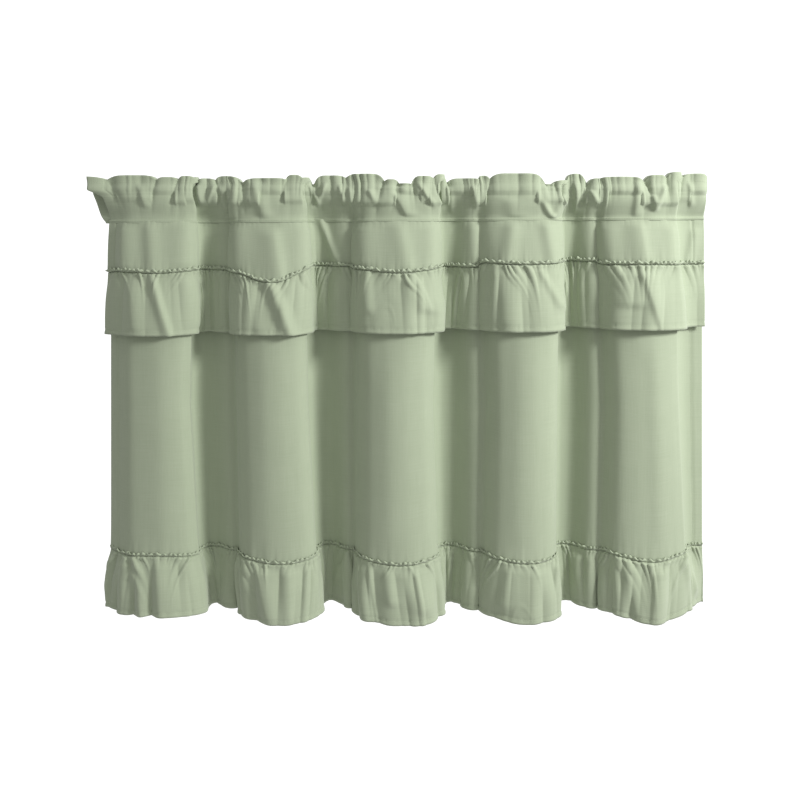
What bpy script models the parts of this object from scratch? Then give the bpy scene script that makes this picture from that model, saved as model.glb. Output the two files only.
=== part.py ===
"""A ruffled cafe curtain, gathered on a rod that is not part of it.

The frame: the origin is the middle of the rod's axis inside the rod pocket, +X runs along the rod
to the right as seen from the room, -Y faces the room and +Z is up.

The pieces, as they are cut and sewn:
  heading         the doubled top edge: a stand-up frill above and the open rod pocket below it
  panel           the long cloth behind, from the pocket's lower stitching to the hem ruffle
  valance         the short cloth in front of it, from the same stitching to its own ruffle
  valance_ruffle  the gathered strip sewn to the valance
  hem_ruffle      the gathered strip sewn to the panel's lower edge
"""

import math
from collections import namedtuple

import bpy

MM = 0.001

# ---------------------------------------------------------------- driving dimensions, millimetres
CLOTH = 1.5  # thickness of one cloth, with its nap and seam allowances
GAP = 0.9  # air between two pieces that are sewn together
LEFT_END = -412.0  # the left selvedge of the hung cloth
RIGHT_END = 412.0  # the right selvedge

POCKET_FOOT = (-47.5, -42.5)  # the stitching that closes the pocket below, at the left and right end
VALANCE_HEM = (-200.5, -190.5)  # the lower edge of the valance's ruffle, at the left and right end
HEM_SEAM = -506.5  # where the hem ruffle is sewn on
HEM = -586.5  # the lower edge of the whole curtain

PANEL_BEHIND = 1.1  # the panel's middle lies this far behind the fold line
VALANCE_AHEAD = 1.1  # the valance's middle lies this far ahead of it at the pocket,
VALANCE_PROUD = 4.0  # this far at its seam,
RUFFLE_PROUD = 8.0  # and its ruffle this far at the lower edge
HEM_RUFFLE_PROUD = 1.0  # the hem ruffle's middle lies this far ahead of the fold line at its foot
VALANCE_WAVE = 3.0  # half the height of the soft waves along the ruffles' lower edges
HEM_WAVE = 4.5

FOLD_SHARE = [  # the folds' share of their full depth at a height
    (POCKET_FOOT[0], 0.56),
    (-110.0, 0.80),
    (-200.0, 0.95),
    (-330.0, 1.00),
    (HEM, 1.04),
]

VALANCE_ROWS = (-47.0, -75.0, -110.0)
VALANCE_RUFFLE_ROWS = (-110.0, -155.0, -195.0)
PANEL_ROWS = (-47.0, -75.0, -110.0, -200.0, -330.0, HEM_SEAM)
HEM_RUFFLE_ROWS = (HEM_SEAM, -546.0, HEM)

# ---------------------------------------------------------------- the folds, a row for each
# left, right: the fold's edges at the pocket's stitching. left_hem, right_hem: the same at the hem.
# crest: how far its front stands forward of the rod. hollow: how far the cloth to its right lies back.
# tuck: how far its right edge overhangs the cloth behind it. step: how much of the way forward the
# cloth comes at a small step before the next fold. seam: the height of the valance's seam on it.
# seam_after: the same in the hollow to its right.
Fold = namedtuple("Fold", "left right left_hem right_hem crest hollow tuck step seam seam_after")
FOLDS = [
    Fold(-398, -292, -396, -283, 24, 26, 4, 0.42, -115, -112),
    Fold(-244, -138, -232, -118, 32, 31, 6, 0.45, -126, -107),
    Fold(-73, 42, -72, 56, 34, 29, 5, 0.48, -113, -108),
    Fold(106, 213, 104, 207, 31, 31, 6, 0.48, -103, -100),
    Fold(266, 368, 268, 386, 28, 8, 0, 0.0, -103, -104),
]
DEEPEST = max(fold.hollow for fold in FOLDS)
FOREMOST = max(fold.crest for fold in FOLDS)

# The plan of a fold: how far along its width each point lies, and how far back from its crest, as a
# share of the way to the hollow on that side.
SELVEDGE_BACK = 6.0  # the left selvedge lies this far behind the rod's axis at full depth
LEFT_SHOULDER = (0.10, 0.30)
CREST = (0.42, 0.0)
RIGHT_SHOULDER = (0.85, 0.06)
RIGHT_EDGE_BACK = 0.32
TUCKED_EDGE_BACK = 0.66
HOLLOW_FLOOR = ((0.14, 0.05), (0.45, 0.04))
STEP_FOOT = (0.78, 0.10)

# The heading, a row for each level of its loop of cloth. height: above the rod's axis. half: half the
# clear depth between the two walls. share: the folds' share of their full depth there, which is small
# at the rod because the rod is straight.
Level = namedtuple("Level", "height half share")
POCKET = [
    Level(-27.0, 6.5, 0.24),
    Level(1.0, 8.5, 0.12),
]
UPPER_STITCH = Level(9.0, 0.6, 0.16)
FRILL = Level(16.0, 0.3, 0.20)
END_FLARE = 25.0  # the frill's left end stands out past the selvedge by this,
FLARED_PART = 60.0  # and the cloth flares over this much of its width
PUCKER = 4.0  # half the depth of the small puckers along the frill
FRILL_WAVE = 2.5  # half the height of the waves along its top
PUCKER_TURNS = (0.95, 1.1, 0.31)  # a column's turn of the pucker, and an uneven lead or lag on it
FRILL_TURN = 0.53
RUFFLE_TURNS = (0.86, 1.3, 0.29)


def mix(a, b, share):
    return a + (b - a) * share


def from_table(table, at):
    """The value at a height, from a table of (height, value) that goes downwards."""
    for (high, above), (low, below) in zip(table, table[1:]):
        if at >= low:
            return mix(above, below, max(0.0, (high - at) / (high - low)))
    return table[-1][1]


def along(ends, x):
    """The value at x, from its values at the left and right selvedge."""
    return mix(*ends, (x - LEFT_END) / (RIGHT_END - LEFT_END))


def uneven_wave(turns, column):
    """A sine along the columns whose waves are a little wider here and narrower there."""
    turn, lead, drift = turns
    return math.sin(turn * column + lead * math.sin(drift * column))


def marks_at(share, toward_hem):
    """The points that the cloth's plan passes through, from left to right, as (x, y, seam height).

    share is the folds' share of their full depth, and toward_hem is 0 at the pocket and 1 at the hem."""
    marks = [(LEFT_END, SELVEDGE_BACK * share, FOLDS[0].seam)]
    back = FOLDS[0].hollow * share * 0.5
    for number, fold in enumerate(FOLDS):
        left = mix(fold.left, fold.left_hem, toward_hem)
        right = mix(fold.right, fold.right_hem, toward_hem)
        wide = right - left
        front = -fold.crest * share
        rise = back - front
        edge = mix(fold.seam_after, fold.seam, 0.4)
        for (across, behind), seam in ((LEFT_SHOULDER, edge), (CREST, fold.seam), (RIGHT_SHOULDER, edge)):
            marks.append((left + across * wide, front + behind * rise, seam))
        back = fold.hollow * share
        rise = back - front
        marks.append((right, front + RIGHT_EDGE_BACK * rise, fold.seam_after))
        marks.append((right - fold.tuck * share, front + TUCKED_EDGE_BACK * rise, fold.seam_after))
        if number + 1 < len(FOLDS):
            following = FOLDS[number + 1]
            hollow = mix(following.left, following.left_hem, toward_hem) - right
            for across, raised in HOLLOW_FLOOR:
                marks.append((right + across * hollow, back - raised * rise, fold.seam_after))
            across, below = STEP_FOOT
            marks.append((right + across * hollow, back - (fold.step - below) * rise, fold.seam_after))
            marks.append((right + hollow, back - fold.step * rise, fold.seam_after))
    marks += [(mix(right, RIGHT_END, 0.4), back, fold.seam_after), (RIGHT_END, back + 1, fold.seam_after)]
    return marks


def smooth_line(marks, steps):
    """A curve through the marks, steps points to each stretch, which doesn't swing past them."""
    before = [2 * a - b for a, b in zip(marks[0], marks[1])]
    after = [2 * a - b for a, b in zip(marks[-1], marks[-2])]
    padded = [before, *marks, after]
    line = []
    for a, b, c, d in zip(padded, padded[1:], padded[2:], padded[3:]):
        first, middle, last = (math.sqrt(math.dist(p[:2], q[:2])) for p, q in ((a, b), (b, c), (c, d)))
        for step in range(steps):
            t = step / steps
            point = []
            for pa, pb, pc, pd in zip(a, b, c, d):
                slope_b = middle * ((pb - pa) / first - (pc - pa) / (first + middle) + (pc - pb) / middle)
                slope_c = middle * ((pc - pb) / middle - (pd - pb) / (middle + last) + (pd - pc) / last)
                point.append(
                    (2 * t**3 - 3 * t**2 + 1) * pb
                    + (t**3 - 2 * t**2 + t) * slope_b
                    + (3 * t**2 - 2 * t**3) * pc
                    + (t**3 - t**2) * slope_c
                )
            line.append(tuple(point))
    line.append(marks[-1])
    return line


def moved_out(line, distance):
    """The line moved towards the room along its own normals, by distance(column)."""
    moved = []
    for i, (x, y, seam) in enumerate(line):
        a, b = line[max(i - 1, 0)], line[min(i + 1, len(line) - 1)]
        run, rise = b[0] - a[0], b[1] - a[1]
        size = math.hypot(run, rise)
        moved.append((x + distance(i) * rise / size, y - distance(i) * run / size, seam))
    return moved


def fold_line(height, steps):
    """The fold line at a height below the pocket."""
    toward_hem = (POCKET_FOOT[0] - height) / (POCKET_FOOT[0] - HEM)
    return smooth_line(marks_at(from_table(FOLD_SHARE, height), toward_hem), steps)


# ---------------------------------------------------------------- making the pieces


def clear_scene():
    for old in list(bpy.data.objects):
        bpy.data.objects.remove(old, do_unlink=True)


def cloth_material(name, colour):
    material = bpy.data.materials.new(name)
    material.use_nodes = True
    shader = material.node_tree.nodes["Principled BSDF"]
    shader.inputs["Base Color"].default_value = (*colour, 1.0)
    shader.inputs["Roughness"].default_value = 0.85
    shader.inputs["Metallic"].default_value = 0.0
    return material


def sheet(name, rows, material, home, looped=False):
    """A cloth: a flat grid hung on rows of points, given its thickness by Solidify."""
    columns = len(rows[0])
    bpy.ops.mesh.primitive_grid_add(x_subdivisions=columns - 1, y_subdivisions=len(rows) - 1, size=2)
    cloth = bpy.context.object
    cloth.name = name
    cloth.data.name = name
    for vertex in cloth.data.vertices:
        column = round((vertex.co.x + 1) / 2 * (columns - 1))
        row = round((1 - vertex.co.y) / 2 * (len(rows) - 1))
        vertex.co = [MM * size for size in rows[row][column]]
    if looped:
        join = cloth.modifiers.new("Join the loop", "WELD")
        join.merge_threshold = 0.00001
    thicken = cloth.modifiers.new("Cloth thickness", "SOLIDIFY")
    thicken.thickness = CLOTH * MM
    thicken.offset = 0.0
    cloth.data.materials.append(material)
    for old in list(cloth.users_collection):
        old.objects.unlink(cloth)
    home.objects.link(cloth)
    return cloth


def hang(name, heights, top, foot, clear_top, clear_foot, material, home):
    """A plain cloth between two edges, with a row at each height. top and foot bend its two edges."""
    rows = []
    for height in heights:
        down = (heights[0] - height) / (heights[0] - heights[-1])
        line = moved_out(fold_line(height, 2), lambda column: mix(clear_top, clear_foot, down))
        rows.append([(x, y, mix(top(x, seam), foot(x, seam), down)) for x, y, seam in line])
    return sheet(name, rows, material, home)


def ruffle(name, heights, top, foot, clear_top, clear_foot, wave, material, home):
    """A gathered strip: straight where it is sewn on, opening into soft waves at its lower edge."""
    rows = []
    for height in heights:
        down = (heights[0] - height) / (heights[0] - heights[-1])

        def swell(column):
            return mix(clear_top, clear_foot, down) + wave * down * uneven_wave(RUFFLE_TURNS, column)

        line = moved_out(fold_line(height, 3), swell)
        rows.append([(x, y, mix(top(x, seam), foot(x, seam), down)) for x, y, seam in line])
    return sheet(name, rows, material, home)


def heading(material, home):
    """The doubled top edge as one loop of cloth: pocket below, frill above, open at both ends."""
    foot_share = FOLD_SHARE[0][1]
    foot = Level(along(POCKET_FOOT, 0), GAP / 2, foot_share)
    levels = [foot, *POCKET, UPPER_STITCH, FRILL]
    walls = {}
    for side in (-1, 1):
        rows = []
        for level in levels:
            line = smooth_line(marks_at(level.share, 0.0), 2)
            if level in POCKET:
                reach = level.half + CLOTH / 2 + level.share * (DEEPEST if side < 0 else FOREMOST)
                line = [(x, y + side * reach, seam) for x, y, seam in line]
            else:
                line = moved_out(line, lambda column: -side * (level.half + CLOTH / 2))
            rows.append([(x, y, heading_height(level, foot, x)) for x, y, seam in line])
        walls[side] = [puckered(row, level) for row, level in zip(rows, levels)]
    loop = [*walls[-1], *reversed(walls[1]), walls[-1][0]]
    return sheet("heading", loop, material, home, looped=True)


def heading_height(level, foot, x):
    if level is foot:
        return along(POCKET_FOOT, x) + CLOTH / 2
    return level.height


def puckered(row, level):
    """A level of the heading with its small puckers, and its left end flared out."""
    lifted = max(0.0, level.height - UPPER_STITCH.height) / (FRILL.height - UPPER_STITCH.height)
    flare = max(0.0, (level.height - POCKET_FOOT[0]) / (FRILL.height - POCKET_FOOT[0])) ** 1.5
    points = []
    for column, (x, y, z) in enumerate(row):
        pucker = PUCKER * lifted * uneven_wave(PUCKER_TURNS, column)
        rise = FRILL_WAVE * lifted * math.sin(FRILL_TURN * column + 1.0)
        near_end = max(0.0, 1 - (x - LEFT_END) / FLARED_PART) ** 2
        points.append((x - END_FLARE * flare * near_end, y + pucker, z + rise))
    return points


def build():
    clear_scene()
    home = bpy.data.collections.new("Cafe curtain")
    bpy.context.scene.collection.children.link(home)
    body = cloth_material("sage microfibre", (0.42, 0.50, 0.36))
    trim = cloth_material("sage microfibre ruffle", (0.45, 0.53, 0.38))

    def below_pocket(x, _seam):
        return along(POCKET_FOOT, x) - CLOTH / 2 - GAP

    def hem_seam(_x, _seam):
        return HEM_SEAM

    def valance_seam(_x, seam):
        return seam

    def below_valance(_x, seam):
        return seam - GAP

    def valance_hem(x, _seam):
        return along(VALANCE_HEM, x)

    def below_panel(_x, _seam):
        return HEM_SEAM - GAP

    def hem(_x, _seam):
        return HEM

    heading(body, home)
    hang("panel", PANEL_ROWS, below_pocket, hem_seam, -PANEL_BEHIND, -PANEL_BEHIND, body, home)
    hang("valance", VALANCE_ROWS, below_pocket, valance_seam, VALANCE_AHEAD, VALANCE_PROUD, body, home)
    edges = (below_valance, valance_hem, VALANCE_PROUD, RUFFLE_PROUD, VALANCE_WAVE)
    ruffle("valance_ruffle", VALANCE_RUFFLE_ROWS, *edges, trim, home)
    edges = (below_panel, hem, -PANEL_BEHIND, HEM_RUFFLE_PROUD, HEM_WAVE)
    ruffle("hem_ruffle", HEM_RUFFLE_ROWS, *edges, trim, home)


build()
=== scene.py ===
# %% [markdown]
# # A ruffled cafe curtain
#
# This lesson dresses a plain frame of a cafe curtain: a short gathered curtain for the lower half
# of a kitchen window. The real thing is five cloths sewn together: a heading with a rod pocket, a
# long panel, a short valance in front of it, and a gathered ruffle on each of the two.
# The frame says where each piece hangs. Here each one gets its real folds, puckers and finish.

# %% Load the frame
import math
from collections import namedtuple

import bmesh
import bpy
import numpy as np
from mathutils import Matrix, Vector


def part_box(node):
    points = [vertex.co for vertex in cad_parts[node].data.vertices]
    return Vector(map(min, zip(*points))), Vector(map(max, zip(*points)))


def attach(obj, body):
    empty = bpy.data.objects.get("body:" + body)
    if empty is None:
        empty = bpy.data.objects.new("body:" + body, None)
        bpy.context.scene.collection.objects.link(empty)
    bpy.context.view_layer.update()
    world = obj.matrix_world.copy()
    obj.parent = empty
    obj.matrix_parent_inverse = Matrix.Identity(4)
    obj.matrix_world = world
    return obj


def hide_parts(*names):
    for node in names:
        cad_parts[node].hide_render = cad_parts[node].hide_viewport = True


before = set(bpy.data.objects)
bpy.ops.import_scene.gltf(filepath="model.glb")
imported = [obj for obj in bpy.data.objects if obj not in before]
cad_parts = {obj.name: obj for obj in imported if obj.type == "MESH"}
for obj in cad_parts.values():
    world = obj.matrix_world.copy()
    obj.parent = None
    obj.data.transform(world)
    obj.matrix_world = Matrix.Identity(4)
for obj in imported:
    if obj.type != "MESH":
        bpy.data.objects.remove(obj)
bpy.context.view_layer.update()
MM = 0.001

# %% [markdown]
# ## Sizes from the frame
#
# The frame's nodes are boxes with a known place, so the curtain's ends, its hem seam and its hem are
# read from them and turned into millimetres, the unit in which a curtain maker thinks. The pocket's
# foot and the valance's hem are given in millimetres. The origin is the rod's axis.

# %% Read the seams and hems
LEFT_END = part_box("panel")[0][0] / MM
RIGHT_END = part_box("panel")[1][0] / MM
HEM_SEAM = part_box("panel")[0][2] / MM
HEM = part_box("hem_ruffle")[0][2] / MM
FLARE_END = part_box("heading")[0][0] / MM
POCKET_FOOT = (-47.5, -42.5)
VALANCE_HEM = (-200.5, -190.5)
print(f"hung width {RIGHT_END - LEFT_END:.0f} mm, drop below the rod {-HEM:.0f} mm")

# %% [markdown]
# ## The main folds
#
# A gathered curtain hangs in soft uneven folds. Each has a broad front, a right edge that tucks
# under itself, a hollow behind it, and a small step where the cloth comes forward again. One row
# of this table is one fold, and its edges are given at three heights, because no fold hangs quite
# plumb. Crest and hollow are how far it stands forward and back, and the last four values are the
# heights of the two seams on it and in the hollow after it. The folds are shallower near the rod,
# so the shares say how much of their depth each height has. One short table keeps the folds in the
# same place in all five cloths, as in the real curtain, where the layers nest.

# %% Describe the folds
HEIGHTS = (-45.0, -300.0, -587.0)
Fold = namedtuple("Fold", "left right crest hollow tuck step seam seam_after hem_seam hem_seam_after")
FOLDS = [
    Fold((-398, -396, -396), (-293, -298, -281), 24, 26, 5, 0.40, -115, -112, -499, -503),
    Fold((-244, -239, -233), (-138, -133, -117), 32, 31, 8, 0.42, -127, -107, -507, -502),
    Fold((-74, -73, -74), (43, 36, 46), 34, 29, 6, 0.46, -114, -108, -508, -503),
    Fold((100, 107, 102), (214, 209, 207), 31, 31, 8, 0.46, -103, -100, -507, -502),
    Fold((263, 273, 266), (368, 372, 385), 28, 8, 1, 0.0, -103, -104, -506, -497),
]
FULL_FOLDS_AT = -330.0
SHARE_HEIGHTS = (HEM, FULL_FOLDS_AT, -200.0, -110.0, POCKET_FOOT[0])
SHARES = (1.04, 1.00, 0.95, 0.80, 0.56)


def fold_marks(share, height):
    """The points that the cloth's plan passes through, as columns x, y, valance seam, hem seam."""

    def at_height(values):
        return float(np.interp(height, HEIGHTS[::-1], values[::-1]))

    first = FOLDS[0]
    marks = [(LEFT_END, 5 * share, first.seam, first.hem_seam)]
    back = first.hollow * share * 0.5
    for number, fold in enumerate(FOLDS):
        left, right = at_height(fold.left), at_height(fold.right)
        wide = right - left
        front = -fold.crest * share
        rise = back - front
        on_fold = (fold.seam, fold.hem_seam)
        after = (fold.seam_after, fold.hem_seam_after)
        at_edge = (0.6 * after[0] + 0.4 * on_fold[0], 0.6 * after[1] + 0.4 * on_fold[1])
        # each place is a share of the fold's width, and a share of its rise to the hollow
        marks += [
            (left + 0.04 * wide, front + 0.42 * rise, *at_edge),
            (left + 0.16 * wide, front + 0.18 * rise, *at_edge),
            (left + 0.44 * wide, front + 0.02 * rise, *on_fold),
            (left + 0.66 * wide, front, *on_fold),
            (left + 0.88 * wide, front + 0.11 * rise, *at_edge),
        ]
        back = fold.hollow * share
        rise = back - front
        marks += [(right, front + 0.34 * rise, *after), (right - fold.tuck, front + 0.66 * rise, *after)]
        if number + 1 < len(FOLDS):
            hollow = at_height(FOLDS[number + 1].left) - right
            # the hollow is deepest beside the fold, and steps forward before the next one
            marks += [
                (right + 0.12 * hollow, back - 0.06 * rise, *after),
                (right + 0.42 * hollow, back - 0.08 * rise, *after),
                (right + 0.70 * hollow, back - (fold.step - 0.08) * rise, *after),
                (right + 0.88 * hollow, back - (fold.step + 0.02) * rise, *after),
                (right + 1.00 * hollow, back - (fold.step - 0.10) * rise, *after),
            ]
    marks += [(0.6 * right + 0.4 * RIGHT_END, back, *after), (RIGHT_END, back + 1, *after)]
    return np.array(marks, dtype=float)


# %% [markdown]
# ## Following the folds along the cloth
#
# To place a pucker or a stitch, a maker measures along the cloth, not along the rod. So the plan
# is laid out by its own run, s, at the folds' full depth, and every height uses the same s. The
# corners are rounded by averaging over a few millimetres, which is what the cloth's stiffness
# does. The folds' right edges are pressed sharper than the rest, so the averaging is short there.

# %% Lay out the plan by its run
FULL = fold_marks(1.0, FULL_FOLDS_AT)
RUN = np.concatenate([[0.0], np.cumsum(np.hypot(*np.diff(FULL[:, :2], axis=0).T))])
CLOTH_RUN = float(RUN[-1])
FINE = np.arange(0.0, CLOTH_RUN, 1.0)
print(f"the cloth runs {CLOTH_RUN:.0f} mm along its main folds")

ROUND_REACH = 7.0
CORNER_REACH = 1.7
CORNER_WIDTH = 12.0
CORNERS = np.interp([fold.right[1] for fold in FOLDS], FULL[:, 0], RUN)
CORNER_SHARE = sum(np.exp(-(((FINE - corner) / CORNER_WIDTH) ** 2)) for corner in CORNERS)


def soften(values, reach):
    """Values at each millimetre of run, averaged over a reach with a bell of weights."""
    steps = np.arange(-math.ceil(3 * reach), math.ceil(3 * reach) + 1)
    weights = np.exp(-0.5 * (steps / reach) ** 2)
    start = 2 * values[0] - values[1 : len(steps) // 2 + 1][::-1]
    end = 2 * values[-1] - values[-len(steps) // 2 : -1][::-1]
    padded = np.concatenate([start, values, end])
    smooth = np.convolve(padded, weights / weights.sum(), mode="same")
    return smooth[len(start) : len(start) + len(values)]


def share_at(height):
    """How much of their full depth the main folds have at a height."""
    return float(np.interp(height, SHARE_HEIGHTS, SHARES))


class Plan:
    """The fold line at one height: its points and outward normals at each place s along the cloth."""

    def __init__(self, share, height, s):
        marks = fold_marks(share, height)
        lines = []
        for column in range(4):
            straight = np.interp(FINE, RUN, marks[:, column])
            rounded = soften(straight, ROUND_REACH)
            sharp = soften(straight, CORNER_REACH)
            lines.append(rounded + (sharp - rounded) * CORNER_SHARE)
        run_x, run_y = np.gradient(lines[0]), np.gradient(lines[1])
        size = np.hypot(run_x, run_y)
        self.x, self.y, self.seam, self.hem_seam = (np.interp(s, FINE, line) for line in lines)
        self.out_x = np.interp(s, FINE, run_y / size)
        self.out_y = np.interp(s, FINE, -run_x / size)


# %% [markdown]
# ## Puffs, creases and ridges
#
# Where cloth is gathered on a thread it stands up in small rounded puffs with sharp creases
# between them. Their widths are uneven, so they are drawn from a seeded random generator. Larger
# folds that show one by one are listed, a row for each, as soft ridges that run from a top point
# to a foot point. Each flank has its own width, so that one side can be the steeper.

# %% Make the gathers
def gathers(s, spacing, seed, unevenness=0.45):
    """Puffs along s: 0 in a crease and up to 1 on a puff, and each puff's own random number."""
    rng = np.random.default_rng(seed)
    # enough puffs for a cloth of the narrowest ones, starting a few before the cloth does
    count = int(1.6 * CLOTH_RUN / spacing / (1 - unevenness)) + 8
    widths = spacing * rng.uniform(1 - unevenness, 1 + unevenness, count)
    edges = np.cumsum(widths) - spacing * 4
    own = rng.uniform(0.0, 1.0, count + 1)
    cell = np.clip(np.searchsorted(edges, s), 1, count - 1)
    across = np.clip((s - edges[cell - 1]) / widths[cell], 0.0, 1.0)
    puff = np.sqrt(np.clip(1 - (2 * across - 1) ** 2, 0.0, 1.0))
    return puff, own[cell]


def ease(value, start, end):
    """0 before start, 1 after end, and a smooth step between them."""
    t = np.clip((value - start) / (end - start), 0.0, 1.0)
    return t * t * (3 - 2 * t)


Ridge = namedtuple("Ridge", "x top foot_x foot left right height")


def ridges(table, x, z):
    """How far the listed ridges lift the cloth at x, z. left and right are the flanks' widths."""
    lift = np.zeros_like(x)
    for ridge in table:
        down = (ridge.top - z) / (ridge.top - ridge.foot)
        middle = ridge.x + (ridge.foot_x - ridge.x) * np.clip(down, 0.0, 1.0)
        flank = np.where(x < middle, ridge.left, ridge.right)
        fade = ease(down, -0.12, 0.15) * (1 - ease(down, 0.85, 1.12))
        lift += ridge.height * fade * np.exp(-(((x - middle) / flank) ** 2))
    return lift


# %% [markdown]
# ## A sheet
#
# Each cloth is a flat grid, as it lay on the cutting table, whose points are then hung in rows.
# A cloth simulation could drape it too, but it would choose its own folds, and here each fold has
# its known place. The UV map keeps the flat sizes in metres, so that the weave follows the cloth
# round the folds. Solidify gives it a real thickness at the end.

# %% Hang a sheet
CLOTH = 0.9
collection = bpy.data.collections.new("Cafe curtain")
bpy.context.scene.collection.children.link(collection)


def add_mesh(name, mesh, material):
    """A smooth-shaded piece of a mesh, in the curtain's collection."""
    mesh.materials.append(material)
    mesh.shade_smooth()
    piece = bpy.data.objects.new(name, mesh)
    collection.objects.link(piece)
    return piece


def hang_sheet(name, points, flat, material, thickness=CLOTH):
    """A grid whose row i and column j hang at points[i, j], in millimetres. flat is in metres."""
    rows, columns = points.shape[:2]
    mesh = bpy.data.meshes.new(name)
    cloth = bmesh.new()
    bmesh.ops.create_grid(cloth, x_segments=columns - 1, y_segments=rows - 1, size=0.5)
    uv = cloth.loops.layers.uv.new("cloth")
    for face in cloth.faces:
        for corner in face.loops:
            place = corner.vert.co
            corner[uv].uv = ((place.x + 0.5) * flat[0], (place.y + 0.5) * flat[1])
    for vert in cloth.verts:
        column = round((vert.co.x + 0.5) * (columns - 1))
        row = round((0.5 - vert.co.y) * (rows - 1))
        vert.co = points[row, column] * MM
    bmesh.ops.recalc_face_normals(cloth, faces=cloth.faces)
    cloth.to_mesh(mesh)
    cloth.free()
    piece = add_mesh(name, mesh, material)
    thicken = piece.modifiers.new("Cloth thickness", "SOLIDIFY")
    thicken.thickness = thickness * MM
    thicken.offset = 0.0
    print(name, rows, "rows,", columns, "columns")
    return piece


# %% [markdown]
# ## The cloth's finish
#
# The curtain is a plain-woven microfibre polyester, dyed sage green and brushed, so it is matt
# with a faint bloom at grazing angles. The weave's threads are about 0.35 mm apart. The gathered
# ruffles are cut from the same cloth. All the patterns read the UV map, which is in metres of flat
# cloth, so a thread stays a thread on every piece.


# %% Helpers for materials
def linear(colour):
    """An sRGB hex colour as linear red, green, blue and alpha."""
    channels = [int(colour[i : i + 2], 16) / 255 for i in (1, 3, 5)]
    return (*[c / 12.92 if c <= 0.04045 else ((c + 0.055) / 1.055) ** 2.4 for c in channels], 1.0)


def add_node(owner, kind, settings=None, inputs=None):
    """Adds a shader node to a material or world, sets it up, and links inputs given as sockets."""
    node = owner.node_tree.nodes.new(kind)
    for key, value in (settings or {}).items():
        setattr(node, key, value)
    for key, value in (inputs or {}).items():
        if isinstance(value, bpy.types.NodeSocket):
            owner.node_tree.links.new(value, node.inputs[key])
        else:
            node.inputs[key].default_value = value
    return node


def new_material(name, roughness, sheen=0.0):
    """A material with one Principled shader, and the shader."""
    material = bpy.data.materials.new(name)
    material.use_nodes = True
    shader = material.node_tree.nodes["Principled BSDF"]
    shader.inputs["Roughness"].default_value = roughness
    shader.inputs["Sheen Weight"].default_value = sheen
    shader.inputs["Sheen Roughness"].default_value = 0.6
    shader.inputs["Specular IOR Level"].default_value = 0.25
    return material, shader


# %% [markdown]
# The weave is drawn about three times coarser than life, at 1 mm, because a real thread is finer
# than the render can show. Long faint streaks along both thread directions are the uneven yarn,
# and the soft patches a few centimetres wide are where the nap lies one way or the other. All of
# them only shift the colour between two close greens.

# %% Make the woven cloth
THREAD = 1.0 * MM
SLUB_LENGTH = 45 * MM
SLUB_WIDTH = 0.9 * MM
NAP_PATCH = 45 * MM
THREAD_HEIGHT = 0.2 * MM
# the Wave texture turns 20 times faster than its scale says, and one turn is two threads
WEAVE_SCALE = math.pi / (20 * THREAD)


def woven_cloth(name, light, dark):
    """Brushed plain weave: two crossed thread waves for the bump, and slubs in both directions."""
    material, shader = new_material(name, roughness=0.82, sheen=0.25)
    flat = add_node(material, "ShaderNodeUVMap", {"uv_map": "cloth"}).outputs["UV"]
    slubs = []
    for long_x, long_y in ((SLUB_WIDTH, SLUB_LENGTH), (SLUB_LENGTH, SLUB_WIDTH)):
        stretched = add_node(
            material,
            "ShaderNodeMapping",
            inputs={"Vector": flat, "Scale": (1 / long_x, 1 / long_y, 1.0)},
        )
        noise = add_node(
            material,
            "ShaderNodeTexNoise",
            inputs={"Vector": stretched.outputs["Vector"], "Scale": 1.0, "Detail": 2.0, "Roughness": 0.6},
        )
        slubs.append(noise.outputs["Fac"])
    both = add_node(material, "ShaderNodeMath", {"operation": "ADD"}, {0: slubs[0], 1: slubs[1]})
    nap = add_node(
        material,
        "ShaderNodeTexNoise",
        inputs={"Vector": flat, "Scale": 1 / NAP_PATCH, "Detail": 3.0},
    )
    mixed = add_node(
        material,
        "ShaderNodeMath",
        {"operation": "MULTIPLY_ADD"},
        {0: nap.outputs["Fac"], 1: 0.5, 2: both.outputs[0]},
    )
    tone = add_node(
        material,
        "ShaderNodeMapRange",
        inputs={"Value": mixed.outputs[0], "From Min": 0.85, "From Max": 1.65},
    )
    colour = add_node(
        material,
        "ShaderNodeMix",
        {"data_type": "RGBA"},
        {0: tone.outputs["Result"], 6: linear(dark), 7: linear(light)},
    )
    material.node_tree.links.new(colour.outputs[2], shader.inputs["Base Color"])
    waves = []
    for direction in ("X", "Y"):
        wave = add_node(
            material,
            "ShaderNodeTexWave",
            {"bands_direction": direction},
            {"Vector": flat, "Scale": WEAVE_SCALE, "Distortion": 0.6, "Detail": 1.0},
        )
        waves.append(wave.outputs["Fac"])
    weave = add_node(material, "ShaderNodeMath", {"operation": "MULTIPLY"}, {0: waves[0], 1: waves[1]})
    height = add_node(
        material,
        "ShaderNodeMath",
        {"operation": "MULTIPLY_ADD"},
        {0: both.outputs[0], 1: 0.3, 2: weave.outputs[0]},
    )
    bump = add_node(
        material,
        "ShaderNodeBump",
        inputs={"Strength": 0.25, "Distance": THREAD_HEIGHT, "Height": height.outputs[0]},
    )
    material.node_tree.links.new(bump.outputs["Normal"], shader.inputs["Normal"])
    return material


sage_cloth = woven_cloth("Sage brushed microfibre", light="#A3AD94", dark="#99A48A")

# %% [markdown]
# ## Stitches
#
# Lockstitch shows as a row of short raised dashes, each pulled into the cloth at its ends. A real
# one is about 2.5 mm long. Hundreds of separate meshes would be heavy, so each dash is a short
# spline of one bevelled curve, thin at both ends.

# %% Sew a row of stitches
STITCH_LENGTH = 2.6
STITCH_STEP = 3.4
STITCH_THICKNESS = 0.6
ABOVE_CLOTH = 0.5
thread, thread_shader = new_material("Polyester sewing thread", roughness=0.55, sheen=0.1)
thread_shader.inputs["Base Color"].default_value = linear("#A9B39A")
stitches = []


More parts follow.
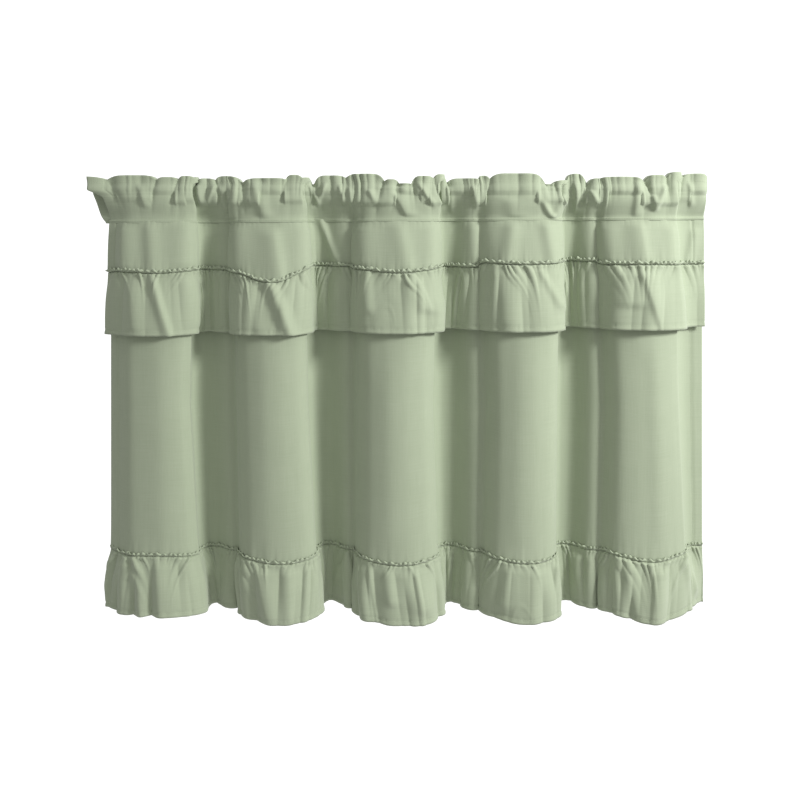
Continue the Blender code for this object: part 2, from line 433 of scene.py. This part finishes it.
def stitch_row(name, line, normals):
    """A row of stitches along a line of points, lying above the cloth on the side of the normals."""
    run = np.concatenate([[0.0], np.cumsum(np.linalg.norm(np.diff(line, axis=0), axis=1))])
    raised = line + ABOVE_CLOTH * normals
    curve = bpy.data.curves.new(name, "CURVE")
    curve.dimensions = "3D"
    curve.bevel_depth = STITCH_THICKNESS / 2 * MM
    curve.bevel_resolution = 1
    curve.use_fill_caps = True
    for start in np.arange(STITCH_STEP, run[-1] - STITCH_STEP, STITCH_STEP):
        stitch = curve.splines.new("POLY")
        stitch.points.add(2)
        for point, along, thick in zip(stitch.points, (0.0, 0.5, 1.0), (0.5, 1.0, 0.5)):
            at = start + along * STITCH_LENGTH
            point.co = (*[np.interp(at, run, raised[:, axis]) * MM for axis in range(3)], 1.0)
            point.radius = thick
    curve.materials.append(thread)
    row = bpy.data.objects.new(name, curve)
    collection.objects.link(row)
    stitches.append(row)
    print(name, round(float(run[-1])), "mm,", len(curve.splines), "stitches")


# %% [markdown]
# ## The panel
#
# The long cloth behind hangs from the pocket's stitching to the hem ruffle. Its own weight pulls it
# smooth, so it has only the main folds and a few faint drags. Both its ends are turned in as side
# hems, which show as a slightly raised strip with a stitched groove. All five cloths are moved out
# from the same fold line by a lift, so the layers nest and none needs a fold line of its own.

# %% Hang the panel
PANEL_FLAT = (1.20, 0.47)
SIDE_HEM = 17.0
SIDE_STITCHES = SIDE_HEM - 1.5
PANEL_BEHIND = 1.1
TUCKED_UNDER = 4.0
PANEL_DRAGS = [
    Ridge(-335, -200, -330, -500, 16, 26, 1.6),
    Ridge(-190, -210, -196, -480, 22, 30, 1.5),
    Ridge(-25, -240, -22, -500, 24, 22, 1.6),
    Ridge(160, -200, 150, -470, 22, 26, 1.5),
    Ridge(318, -220, 326, -500, 18, 14, -1.8),
]


def pocket_foot(x):
    """The height of the pocket's lower stitching, which rises a little to the right."""
    return np.interp(x, (LEFT_END, RIGHT_END), POCKET_FOOT)


def side_hems(s, raised=0.7):
    """A strip at each end that stands a little proud, with the stitching's groove at its inner edge."""
    lift = np.zeros_like(s)
    for inward in (s, CLOTH_RUN - s):
        lift += raised * (1 - ease(inward, SIDE_HEM, SIDE_HEM + 1.5))
        lift -= 1.1 * np.exp(-(((inward - SIDE_STITCHES) / 1.6) ** 2))
    return lift


def hang_rows(s, down, top, foot):
    """Rows of the fold line from height top to foot: places, outward normals and the top's plan."""
    plans = [Plan(share_at(height), height, s) for height in np.interp(down[:, 0], (0, 1), (top, foot))]
    x = np.array([plan.x for plan in plans])
    y = np.array([plan.y for plan in plans])
    out_x = np.array([plan.out_x for plan in plans])
    out_y = np.array([plan.out_y for plan in plans])
    return x, y, out_x, out_y, plans[0]


def assemble(x, y, z, out_x, out_y, lift):
    """The points at x, y, z, each moved out from the fold line by its lift."""
    return np.stack([x + lift * out_x, y + lift * out_y, z], axis=-1)


def make_panel():
    s = np.linspace(0.0, CLOTH_RUN, 560)
    down = np.linspace(0.0, 1.0, 84)[:, None]
    x, y, out_x, out_y, plan = hang_rows(s, down, POCKET_FOOT[0], HEM_SEAM)
    top = pocket_foot(x[0]) + TUCKED_UNDER
    z = top * (1 - down) + plan.hem_seam * down
    lift = -PANEL_BEHIND + ridges(PANEL_DRAGS, x, z) + side_hems(s)
    # the hem ruffle's stitching draws up low puffs, which die out within a few millimetres
    puff, own = gathers(s, 11.0, seed=4)
    lift = lift + 1.1 * puff * np.exp((plan.hem_seam - z) / (4 + 12 * own))
    points = assemble(x, y, z, out_x, out_y, lift)
    for end, place in (("left", SIDE_STITCHES), ("right", CLOTH_RUN - SIDE_STITCHES)):
        column = int(np.argmin(np.abs(s - place)))
        normals = np.stack([out_x[:, column], out_y[:, column], 0 * out_x[:, column]], axis=-1)
        stitch_row(f"panel_{end}_hem_stitches", points[:, column], normals)
    return hang_sheet("panel_cloth", points, PANEL_FLAT, sage_cloth)


panel = make_panel()

# %% [markdown]
# ## The valance
#
# The short front cloth falls from the same stitching. It bows out a little over the panel and shows
# soft upright flutes, one slanting fold between two of the main ones, and small puffs at both its
# seams. The flutes are too few and too uneven for a formula, so each is a ridge of its own.

# %% Hang the valance
VALANCE_FLAT = (1.20, 0.066)
VALANCE_SEAM = -110.0
VALANCE_CLEAR = (1.1, 4.2)
VALANCE_BOW = 1.6
VALANCE_FLUTES = [
    Ridge(-388, -50, -386, -112, 9, 16, 3.9),
    Ridge(-352, -46, -344, -120, 10, 12, 3.3),
    Ridge(-304, -46, -304, -108, 20, 10, 3.6),
    Ridge(-236, -50, -240, -112, 10, 14, 3.3),
    Ridge(-183, -56, -172, -132, 16, 9, 4.2),
    Ridge(-142, -50, -141, -112, 12, 8, 2.7),
    Ridge(-128, -28, -92, -104, 8, 5, 3.9),
    Ridge(-66, -50, -64, -106, 9, 20, 3.3),
    Ridge(-12, -46, 0, -112, 14, 10, 3.0),
    Ridge(34, -50, 30, -110, 14, 9, 2.7),
    Ridge(92, -48, 96, -100, 8, 10, 2.2),
    Ridge(144, -46, 136, -104, 12, 10, 3.9),
    Ridge(188, -46, 196, -104, 9, 12, 4.2),
    Ridge(272, -48, 276, -102, 9, 14, 2.7),
    Ridge(316, -46, 322, -102, 16, 8, 3.3),
    Ridge(360, -50, 360, -102, 14, 7, 2.7),
    Ridge(398, -56, 386, -104, 7, 10, 2.7),
]


def make_valance():
    s = np.linspace(0.0, CLOTH_RUN, 900)
    down = np.linspace(0.0, 1.0, 38)[:, None]
    x, y, out_x, out_y, plan = hang_rows(s, down, POCKET_FOOT[0], VALANCE_SEAM)
    top = pocket_foot(x[0]) + TUCKED_UNDER
    z = top * (1 - down) + plan.seam * down
    lift = VALANCE_CLEAR[0] + (VALANCE_CLEAR[1] - VALANCE_CLEAR[0]) * down
    lift = lift + VALANCE_BOW * np.sin(math.pi * down) + ridges(VALANCE_FLUTES, x, z) + side_hems(s, 0.4)
    puff, own = gathers(s, 8.5, seed=7)
    lift = lift + 1.3 * puff * np.exp((plan.seam - z) / (3 + 7 * own))
    puff, own = gathers(s, 10.0, seed=8)
    lift = lift + 0.9 * puff * np.exp((z - top) / (2 + 6 * own))
    points = assemble(x, y, z, out_x, out_y, lift)
    return hang_sheet("valance_cloth", points, VALANCE_FLAT, sage_cloth)


valance = make_valance()

# %% [markdown]
# ## The ruffles
#
# A ruffle is a strip about 1.3 times as long as the cloth it is sewn to. The stitching packs it
# into fine tight puffs, which run together into fewer and softer folds on the way down, and above
# the stitching a narrow lip of it stands out and wanders. So three sizes of gathers are mixed,
# each with its own reach down the strip, and the folds that stand out one by one are ridges. Both
# ruffles are the same strip in two places, so one function makes them.

# %% Gather a ruffle
Gathering = namedtuple("Gathering", "fine medium broad fine_lift medium_lift broad_lift seed")
Ruffle = namedtuple("Ruffle", "flat gathering plan_heights seam foot clear features")
LIP = 4.0
HEM_TURN = 5.0
HEM_TURN_HEIGHT = 0.7
SEAM_PULL = 1.2


def crinkle(s, seed):
    """The uneven wave of an edge that is drawn up by its thread, about -1 to 1."""
    small = np.sin(s / 1.15 + 2.8 * np.sin(s / 9.0 + seed))
    large = np.sin(s / 3.3 + 3.0 * np.sin(s / 31.0 + seed))
    return 0.6 * small + 0.4 * large


def gathered_strip(s, below, share, gathering):
    """How far a gathered strip stands out, at a distance and a share of its depth below the seam."""
    seed = gathering.seed
    puff, own = gathers(s + 0.6 * below * np.sin(s / 17 + seed), gathering.fine, seed, 0.6)
    reach = np.exp(-below / (4 + 18 * own**3)) * ease(below, 0.0, 2.5)
    lift = gathering.fine_lift * (0.3 + own) * puff * reach
    lean = s + 0.12 * below * np.sin(s / 57 + seed)
    puff, own = gathers(lean, gathering.medium, seed + 1, 0.6)
    reach = ease(share, 0.02, 0.2) * (1 - 0.5 * ease(share, 0.35, 1.0))
    lift = lift + gathering.medium_lift * own * puff**2 * reach
    puff, own = gathers(lean, gathering.broad, seed + 2, 0.5)
    return lift + gathering.broad_lift * (0.2 + own) * puff**2 * ease(share, 0.1, 0.75)


def make_ruffle(name, ruffle):
    """A ruffle, from its lip above the seam down to its turned and stitched hem."""
    depth = ruffle.flat[1] / MM - LIP
    seed = ruffle.gathering.seed
    s = np.linspace(0.0, CLOTH_RUN, 1080)
    lip_rows = np.linspace(-LIP, 0.0, 6)
    fall = np.concatenate([lip_rows, depth * np.linspace(0.0, 1.0, 39)[1:] ** 1.4])[:, None]
    share = np.clip(fall / depth, 0.0, 1.0)
    x, y, out_x, out_y, plan = hang_rows(s, share, *ruffle.plan_heights)
    edge = crinkle(s, seed)
    seam = getattr(plan, ruffle.seam) + 0.7 * edge
    z = np.where(fall < 0, seam - fall, seam + (ruffle.foot(x, plan) - seam) * share)
    z = z + 1.8 * crinkle(s + 40, seed) * ease(-fall, 0.0, LIP)
    at_seam, at_hem = ruffle.clear
    lift = at_seam + (at_hem - at_seam) * ease(share, 0.0, 0.5)
    lift = lift + gathered_strip(s, np.maximum(fall, 0.0), share, ruffle.gathering)
    # the lip curls out over the cloth above, and the stitching pulls the seam in
    curl = np.sin(0.75 * math.pi * np.clip(-fall / LIP, 0.0, 1.0))
    lift = lift + (2.2 + 0.5 * at_seam + 1.9 * edge) * curl
    lift = lift - SEAM_PULL * np.exp(-((fall / 1.3) ** 2)) + ridges(ruffle.features, x, z)
    # the turned hem stands a little proud, below a stitched groove with uneven puckers
    from_hem = depth - fall
    puff, own = gathers(s, 13.0, seed + 3, 0.6)
    lift = lift + HEM_TURN_HEIGHT * ease(from_hem, HEM_TURN, HEM_TURN - 1.5)
    lift = lift - (0.6 + 1.6 * own * (1 - puff)) * np.exp(-(((from_hem - HEM_TURN) / 1.8) ** 2))
    points = assemble(x, y, z, out_x, out_y, lift)
    row = int(np.argmin(np.abs(from_hem[:, 0] - HEM_TURN)))
    normals = np.stack([out_x[row], out_y[row], 0 * out_x[row]], axis=-1)
    stitch_row(name.replace("cloth", "hem_stitches"), points[row], normals)
    return hang_sheet(name, points, ruffle.flat, sage_cloth)


# %% [markdown]
# The valance's ruffle hangs in front of the panel, in the hollows as well as on the folds, so its
# hem is a nearly straight line that rises to the right. Two of its folds are pressed nearly flat
# and slant down to the hem, with the steep flank on the right, where it catches the light.

# %% Sew the valance's ruffle
VALANCE_FEATURES = [
    Ridge(-345, -118, -320, -206, 8, 4, 5.2),
    Ridge(-373, -130, -366, -196, 8, 12, 2.4),
    Ridge(-300, -124, -296, -190, 12, 7, 2.0),
    Ridge(-184, -126, -156, -206, 9, 8, 8.0),
    Ridge(-215, -130, -200, -196, 14, 12, 2.6),
    Ridge(-54, -112, -50, -168, 6, 7, 3.2),
    Ridge(2, -122, 26, -168, 12, 9, 3.6),
    Ridge(34, -150, 33, -196, 4, 14, 2.4),
    Ridge(126, -108, 130, -186, 12, 16, 2.6),
    Ridge(180, -112, 204, -164, 5, 6, 2.6),
    Ridge(306, -112, 304, -160, 16, 20, 4.2),
    Ridge(318, -110, 344, -200, 5.0, 22, 3.6),
]


def valance_hem(x, plan):
    """The height of the valance's hem, the same for every plan."""
    return np.interp(x, (LEFT_END, RIGHT_END), VALANCE_HEM)


VALANCE_RUFFLE = Ruffle(
    flat=(1.55, 0.088),
    gathering=Gathering(7.5, 21.0, 50.0, fine_lift=4.2, medium_lift=2.8, broad_lift=3.6, seed=21),
    plan_heights=(VALANCE_SEAM, -200.0),
    seam="seam",
    foot=valance_hem,
    clear=(VALANCE_CLEAR[1], 7.0),
    features=VALANCE_FEATURES,
)
valance_ruffle = make_ruffle("valance_ruffle_cloth", VALANCE_RUFFLE)

# %% [markdown]
# The hem ruffle hangs free, so its folds are deeper and its outline from below is wavy. Where the
# seam climbs into the hollow between two main folds, the hem climbs with it.

# %% Sew the hem ruffle
FOLD_SEAM = -507.5
HEM_CLIMB = 1.15
HEM_FEATURES = [
    Ridge(-369, -505, -357, -585, 7, 10, 4.5),
    Ridge(-340, -505, -334, -585, 9, 10, 4.2),
    Ridge(-303, -505, -292, -585, 10, 16, 4.0),
    Ridge(-222, -512, -214, -585, 7, 8, 3.5),
    Ridge(-203, -512, -182, -585, 9, 16, 4.5),
    Ridge(-163, -510, -158, -585, 9, 9, 3.2),
    Ridge(-60, -512, -54, -585, 8, 12, 3.8),
    Ridge(-26, -512, -20, -560, 8, 10, 3.4),
    Ridge(10, -512, 20, -570, 12, 10, 3.2),
    Ridge(138, -512, 128, -570, 8, 14, 3.6),
    Ridge(166, -512, 168, -585, 9, 12, 3.2),
    Ridge(296, -506, 314, -585, 8, 10, 3.4),
    Ridge(334, -512, 330, -585, 7, 14, 3.8),
    Ridge(378, -506, 396, -560, 8, 7, 3.0),
]


def curtain_hem(x, plan):
    """The height of the curtain's hem, which climbs in the hollows."""
    return HEM + np.maximum(HEM_CLIMB * (plan.hem_seam - FOLD_SEAM), 0.0)


HEM_RUFFLE = Ruffle(
    flat=(1.55, 0.083),
    gathering=Gathering(7.5, 20.0, 40.0, fine_lift=4.4, medium_lift=5.0, broad_lift=6.4, seed=33),
    plan_heights=(HEM_SEAM, HEM),
    seam="hem_seam",
    foot=curtain_hem,
    clear=(-0.6, 1.5),
    features=HEM_FEATURES,
)
hem_ruffle = make_ruffle("hem_ruffle_cloth", HEM_RUFFLE)

# %% [markdown]
# ## The heading
#
# The top edge is doubled over: one line of stitching below and one above leave a pocket for the
# rod, and the fold above it stands up as a frill. The cloth is pushed together on the rod, so the
# frill breaks into uneven scallops. Each scallop is the top of a puff, and between two of them a
# crease runs down over the rod and dies out in the pocket. The first table has a row for each
# scallop. The second says, for some heights, how far the walls stand from the middle and how much
# of the main folds' depth is left, because a rod holds them nearly straight. The third has the
# drapes and creases that show one by one.

# %% Describe the scallops and the pocket
HEADING_FLAT = (1.20, 0.125)
HEADING_CLOTH = 0.8
Scallop = namedtuple("Scallop", "x half_width top")
SCALLOPS = [
    Scallop(-423, 30, 16.5), Scallop(-370, 25, 18), Scallop(-331, 14, 15.5), Scallop(-305, 12, 17),
    Scallop(-274, 15, 14), Scallop(-243, 16, 17), Scallop(-193, 28, 14), Scallop(-157, 12, 18.5),
    Scallop(-141, 8, 15), Scallop(-101, 22, 18), Scallop(-60, 24, 20), Scallop(-25, 9, 12.5),
    Scallop(-4, 11, 7), Scallop(25, 16, 17), Scallop(47, 8, 19.5), Scallop(79, 20, 14),
    Scallop(102, 8, 17.5), Scallop(149, 40, 20.5), Scallop(214, 9, 11.5), Scallop(230, 11, 20.5),
    Scallop(256, 8, 14), Scallop(292, 34, 16), Scallop(343, 13, 18.5), Scallop(365, 9, 22.5),
    Scallop(392, 19, 20.5),
]
POCKET_STITCHES_AT = -44.5
UPPER_STITCH = 9.0
FRILL_STITCHES_AT = UPPER_STITCH - 1.5
FRILL_TOP = 16.0
ROD_UNDERSIDE = -3.0
WallLevel = namedtuple("WallLevel", "height half share")
WALL = [
    WallLevel(-48.0, 2.4, 0.56),
    WallLevel(-46.5, 3.1, 0.56),
    WallLevel(-44.5, 3.0, 0.55),
    WallLevel(-42.5, 2.0, 0.55),
    WallLevel(-34.0, 2.4, 0.50),
    WallLevel(-24.0, 2.8, 0.42),
    WallLevel(-15.0, 3.4, 0.33),
    WallLevel(-9.0, 3.4, 0.27),
    WallLevel(-3.0, 7.6, 0.23),
    WallLevel(1.0, 7.8, 0.22),
    WallLevel(5.0, 7.0, 0.20),
    WallLevel(UPPER_STITCH, 6.0, 0.20),
    WallLevel(13.0, 5.2, 0.22),
    WallLevel(FRILL_TOP, 4.8, 0.24),
]
FRONT_FLARE = ((-48.0, -0.10), (-30.0, 0.0), (-12.0, 0.2), (-7.0, 0.5), (-2.0, 1.0), (16.0, 1.0))
BACK_FLARE = ((-48.0, 0.3), (-36.0, 0.6), (-2.0, 1.25), (16.0, 1.0))
HEADING_FOLDS = [
    Ridge(-365, 4, -357, -24, 4, 7, 3.0),
    Ridge(-290, 8, -284, -20, 3, 5, 3.5),
    Ridge(-263, 6, -276, -22, 5, 3, 3.0),
    Ridge(-258, 4, -250, -32, 3, 5, 3.5),
    Ridge(-240, 2, -242, -42, 4, 8, 3.0),
    Ridge(-208, 10, -194, -40, 8, 10, 4.0),
    Ridge(-134, 6, -123, -22, 3, 4, 3.5),
    Ridge(-112, 6, -124, -20, 4, 3, 3.5),
    Ridge(-92, 4, -89, -18, 3, 4, 3.0),
    Ridge(-79, 0, -75, -34, 3, 6, 3.5),
    Ridge(-52, -2, -42, -20, 4, 6, 3.0),
    Ridge(-16, -8, 0, -38, 4, 12, 4.0),
    Ridge(16, 6, 36, -24, 3, 5, 3.0),
    Ridge(56, 4, 62, -32, 3, 5, 3.5),
    Ridge(90, 4, 95, -26, 3, 5, 3.0),
    Ridge(140, -14, 146, -40, 12, 16, 2.5),
    Ridge(184, -18, 198, -44, 4, 5, 4.0),
    Ridge(214, -10, 200, -42, 6, 4, 4.0),
    Ridge(230, 6, 236, -32, 3, 6, 4.0),
    Ridge(249, -2, 264, -24, 4, 5, 3.0),
    Ridge(313, 8, 312, -40, 5, 8, 3.0),
    Ridge(333, -10, 337, -30, 3, 5, 3.5),
    Ridge(351, 2, 338, -28, 5, 3, 3.5),
    Ridge(386, 6, 390, -24, 3, 5, 3.0),
]


def scallops_at(x):
    """The frill's height at x, and how far x lies from a crease: 0 in it and 1 on a puff."""
    lowest = 6.0
    least_dip = 2.0
    overlap = 2.0
    height = np.full_like(x, lowest)
    puff = np.zeros_like(x)
    for scallop in SCALLOPS:
        away = np.abs(x - scallop.x) / (scallop.half_width + overlap)
        # a broad scallop has a flatter top than a narrow one
        flatness = 2.4 + scallop.half_width / 10.0
        dip = max(scallop.top - lowest - least_dip, least_dip)
        height = np.maximum(height, scallop.top - dip * away**flatness)
        puff = np.maximum(puff, np.clip(1 - away**flatness, 0.0, 1.0))
    return height, puff


# %% [markdown]
# Each of the heading's two walls is a stack of rows. On the way up a row first leaves the folds'
# own direction for the rod's, so that the front wall faces forward and the back wall backward, and
# above the rod the two come together again as the frill. Three kinds of waves shape it: a wide
# puff under each scallop, and coarse and fine gathers that reach down past the rod by chance. At
# the left end, where nothing holds the pocket, both walls flare outwards.

# %% Shape the pocket's walls
SCALLOP_LIFT, COARSE_LIFT, FINE_LIFT = 5.0, 2.4, 2.0
DRAPE_LIFT = 7.8
FRONT_FLARE_WIDTH, BACK_FLARE_WIDTH = 36.0, 48.0


def heading_wall(s, side, levels):
    """One wall of the heading, from the pocket's foot up to the frill's top: side -1 is the front."""
    heights = [level.height for level in WALL]
    deepest = max(fold.hollow if side < 0 else fold.crest for fold in FOLDS)
    coarse, coarse_own = gathers(s, 31.0, seed=60, unevenness=0.6)
    fine, fine_own = gathers(s, 12.0, seed=50, unevenness=0.6)
    rows = []
    for level in levels:
        half = float(np.interp(level, heights, [row.half for row in WALL]))
        share = float(np.interp(level, heights, [row.share for row in WALL]))
        at_rod = float(ease(level, -40.0, -4.0))
        plan = Plan(share, HEIGHTS[0], s)
        top, puff = scallops_at(plan.x + 0.25 * level * np.sin(plan.x / 23.0))
        below = max(0.0, ROD_UNDERSIDE - level)
        above = float(ease(level, 4.0, FRILL_TOP))
        # here and there the cloth drapes straight down off the rod and hides its underside
        drape = coarse_own[::-1] * float(ease(level, -30.0, -10.0)) * float(1 - ease(level, -6.0, 0.0))
        lift = half + np.maximum(0.0, DRAPE_LIFT - half) * ease(drape, 0.2, 0.5)
        reach = np.exp(-below / (7 + 16 * coarse_own)) * float(ease(level, -46.0, -20.0))
        lift += SCALLOP_LIFT * (puff - 0.6) * reach
        reach = np.exp(-below / (6 + 26 * coarse_own[::-1]))
        lift += COARSE_LIFT * (coarse**2 - 0.5) * reach * (1 + 0.2 * above)
        reach = np.exp(-below / (2 + 9 * fine_own))
        lift += FINE_LIFT * fine_own * (fine - 0.5) * reach * (1 + 0.3 * above)
        lift += ridges(HEADING_FOLDS, plan.x, level) * (1.0 if side < 0 else float(ease(level, 0.0, 6.0)))
        turned = at_rod * (1 - above)
        out_x, out_y = plan.out_x * (1 - turned), plan.out_y * (1 - turned) - turned
        size = np.hypot(out_x, out_y)
        if side > 0:
            # the back wall mirrors the front one, and nests behind it where the frill is sewn
            joined = float(ease(level, 2.0, UPPER_STITCH))
            lift = joined * (lift - 2 * HEADING_CLOTH) - (1 - joined) * lift
        x = plan.x + lift * out_x / size
        y = plan.y + side * at_rod * deepest * share + lift * out_y / size
        flare_width = FRONT_FLARE_WIDTH if side < 0 else BACK_FLARE_WIDTH
        near_end = np.clip(1 - (plan.x - LEFT_END) / flare_width, 0.0, 1.0) ** 1.5
        flare = float(np.interp(level, *zip(*(FRONT_FLARE if side < 0 else BACK_FLARE))))
        x = x - (LEFT_END - FLARE_END) * flare * near_end
        stretched = np.where(level > 0, level * top / FRILL_TOP, level)
        foot = (pocket_foot(x) - POCKET_FOOT[0]) * (1 - float(ease(level, WALL[0].height, -30.0)))
        rows.append(np.stack([x, y, stretched + foot], axis=-1))
    return np.array(rows)


# %% [markdown]
# The two walls are one sheet, which goes up the front, over the frill's top and down the back. The
# front has a row wherever its surface turns quickly, at the stitching and from the rod up. The back
# is plainer and makes do with half as many.

# %% Fold the heading over
def make_heading():
    s = np.linspace(0.0, CLOTH_RUN, 840)
    at_stitching = np.linspace(WALL[0].height, -40.0, 8)
    in_pocket = np.linspace(-37.0, -12.0, 10)
    over_rod = np.linspace(-10.5, FRILL_TOP, 21)
    levels = np.concatenate([at_stitching, in_pocket, over_rod])
    front = heading_wall(s, -1, levels)
    back = heading_wall(s, 1, levels[::2])
    plan = Plan(WALL[0].share, HEIGHTS[0], s)
    normals = np.stack([plan.out_x, plan.out_y, 0 * s], axis=-1)
    for name, level in (("pocket_stitches", POCKET_STITCHES_AT), ("frill_stitches", FRILL_STITCHES_AT)):
        stitch_row(name, front[int(np.argmin(np.abs(levels - level)))], normals)
    points = np.concatenate([front, back[::-1]])
    return hang_sheet("heading_cloth", points, HEADING_FLAT, sage_cloth, HEADING_CLOTH)


heading = make_heading()

# %% [markdown]
# ## Light
#
# A curtain's folds only show in light from one side. So one small lamp stands to the right and a
# little above, which turns the right flank of each fold bright and leaves the left one dim.

# %% Light the folds
KEY_PLACE = Vector((1.50, -0.95, 0.55))
KEY_SIZE = 0.4
KEY_POWER = 41.0
MIDDLE = Vector((0.0, 0.0, HEM * MM / 2))


def add_lamp(name, place, target, size, power):
    """A round area lamp that points at a target."""
    data = bpy.data.lights.new(name, "AREA")
    data.shape = "DISK"
    data.size = size
    data.energy = power
    lamp = bpy.data.objects.new(name, data)
    bpy.context.scene.collection.objects.link(lamp)
    lamp.location = place
    lamp.rotation_euler = (target - place).to_track_quat("-Z", "Y").to_euler()
    return lamp


add_lamp("key", KEY_PLACE, MIDDLE, KEY_SIZE, KEY_POWER)

# %% [markdown]
# ## The studio's sky
#
# The background is plain white, and the hollows still need soft shadows. A sky of one brightness
# could not give both, so this one is white behind the curtain and dimmer in front of it, where it
# only fills the shadows. It is also a little brighter overhead and on the lamp's side.

# %% Make the sky
SKY_FRONT, SKY_BEHIND = 0.53, 1.25
SKY_TURNS_FROM, SKY_TURNS_TO = 0.15, 0.7
SKY_ABOVE = 0.2
SKY_RIGHT = 0.12


def studio_sky():
    """A sky whose brightness depends only on the direction."""
    world = bpy.data.worlds.new("studio")
    bpy.context.scene.world = world
    world.use_nodes = True
    around = add_node(world, "ShaderNodeTexCoord").outputs["Generated"]
    parts = add_node(world, "ShaderNodeSeparateXYZ", inputs={"Vector": around})
    behind = add_node(
        world,
        "ShaderNodeMapRange",
        {"interpolation_type": "SMOOTHSTEP"},
        {
            "Value": parts.outputs["Y"],
            "From Min": SKY_TURNS_FROM,
            "From Max": SKY_TURNS_TO,
            "To Min": SKY_FRONT,
            "To Max": SKY_BEHIND,
        },
    )
    above = add_node(
        world,
        "ShaderNodeMath",
        {"operation": "MULTIPLY_ADD"},
        {0: parts.outputs["Z"], 1: SKY_ABOVE, 2: behind.outputs[0]},
    )
    strength = add_node(
        world,
        "ShaderNodeMath",
        {"operation": "MULTIPLY_ADD"},
        {0: parts.outputs["X"], 1: SKY_RIGHT, 2: above.outputs[0]},
    )
    background = world.node_tree.nodes["Background"]
    background.inputs["Color"].default_value = linear("#FFFFFF")
    world.node_tree.links.new(strength.outputs[0], background.inputs["Strength"])


studio_sky()

# %% [markdown]
# ## The floor
#
# The curtain hangs on its rod, so nothing stands on the floor. It is a round matt platform far
# below the hem, which stays out of the main view and shows only from other sides.

# %% Lay the floor
FLOOR = -1.45
FLOOR_RADIUS = 0.8


def lay_floor():
    mesh = bpy.data.meshes.new("floor")
    disc = bmesh.new()
    bmesh.ops.create_circle(disc, cap_ends=True, segments=128, radius=FLOOR_RADIUS)
    bmesh.ops.translate(disc, verts=disc.verts, vec=(0.0, 0.0, FLOOR))
    disc.to_mesh(mesh)
    disc.free()
    material, shader = new_material("Matt white paint", roughness=0.9)
    shader.inputs["Base Color"].default_value = linear("#DEDEDA")
    return add_mesh("floor", mesh, material)


floor = lay_floor()

# %% [markdown]
# ## The camera
#
# The camera stands a little over a metre in front, level with the pocket. Tilting it down to the
# hem would make the sides lean, so it stays level and its lens is shifted down instead. The plain
# Standard view keeps the cloth's pale green from being dulled.

# %% Place the camera
CAMERA_PLACE = (-0.010, -1.18, -0.032)
LENS = 38.34
LENS_SHIFT = -0.235
camera_data = bpy.data.cameras.new("camera")
camera = bpy.data.objects.new("camera", camera_data)
bpy.context.scene.collection.objects.link(camera)
bpy.context.scene.camera = camera
camera.location = CAMERA_PLACE
camera.rotation_euler = (math.radians(90), 0.0, 0.0)
camera_data.sensor_width = 36.0
camera_data.lens = LENS
camera_data.shift_y = LENS_SHIFT
bpy.context.scene.view_settings.view_transform = "Standard"

# %% [markdown]
# ## Pieces on one body
#
# Each cloth takes the place of one node of the frame and hangs gathered from the rod. The frame's
# node is hidden. The curtain has no joints, so every cloth and every row of stitches rides on its
# one body.

# %% Hide the frame and put each piece on the body
for piece, node, slot_name, flat in (
    (panel, "panel", "cloth", PANEL_FLAT),
    (valance, "valance", "cloth", VALANCE_FLAT),
    (heading, "heading", "cloth", HEADING_FLAT),
    (valance_ruffle, "valance_ruffle", "ruffle_cloth", VALANCE_RUFFLE.flat),
    (hem_ruffle, "hem_ruffle", "ruffle_cloth", HEM_RUFFLE.flat),
):
    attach(piece, "root")
    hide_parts(node)
for row in stitches:
    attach(row, "root")
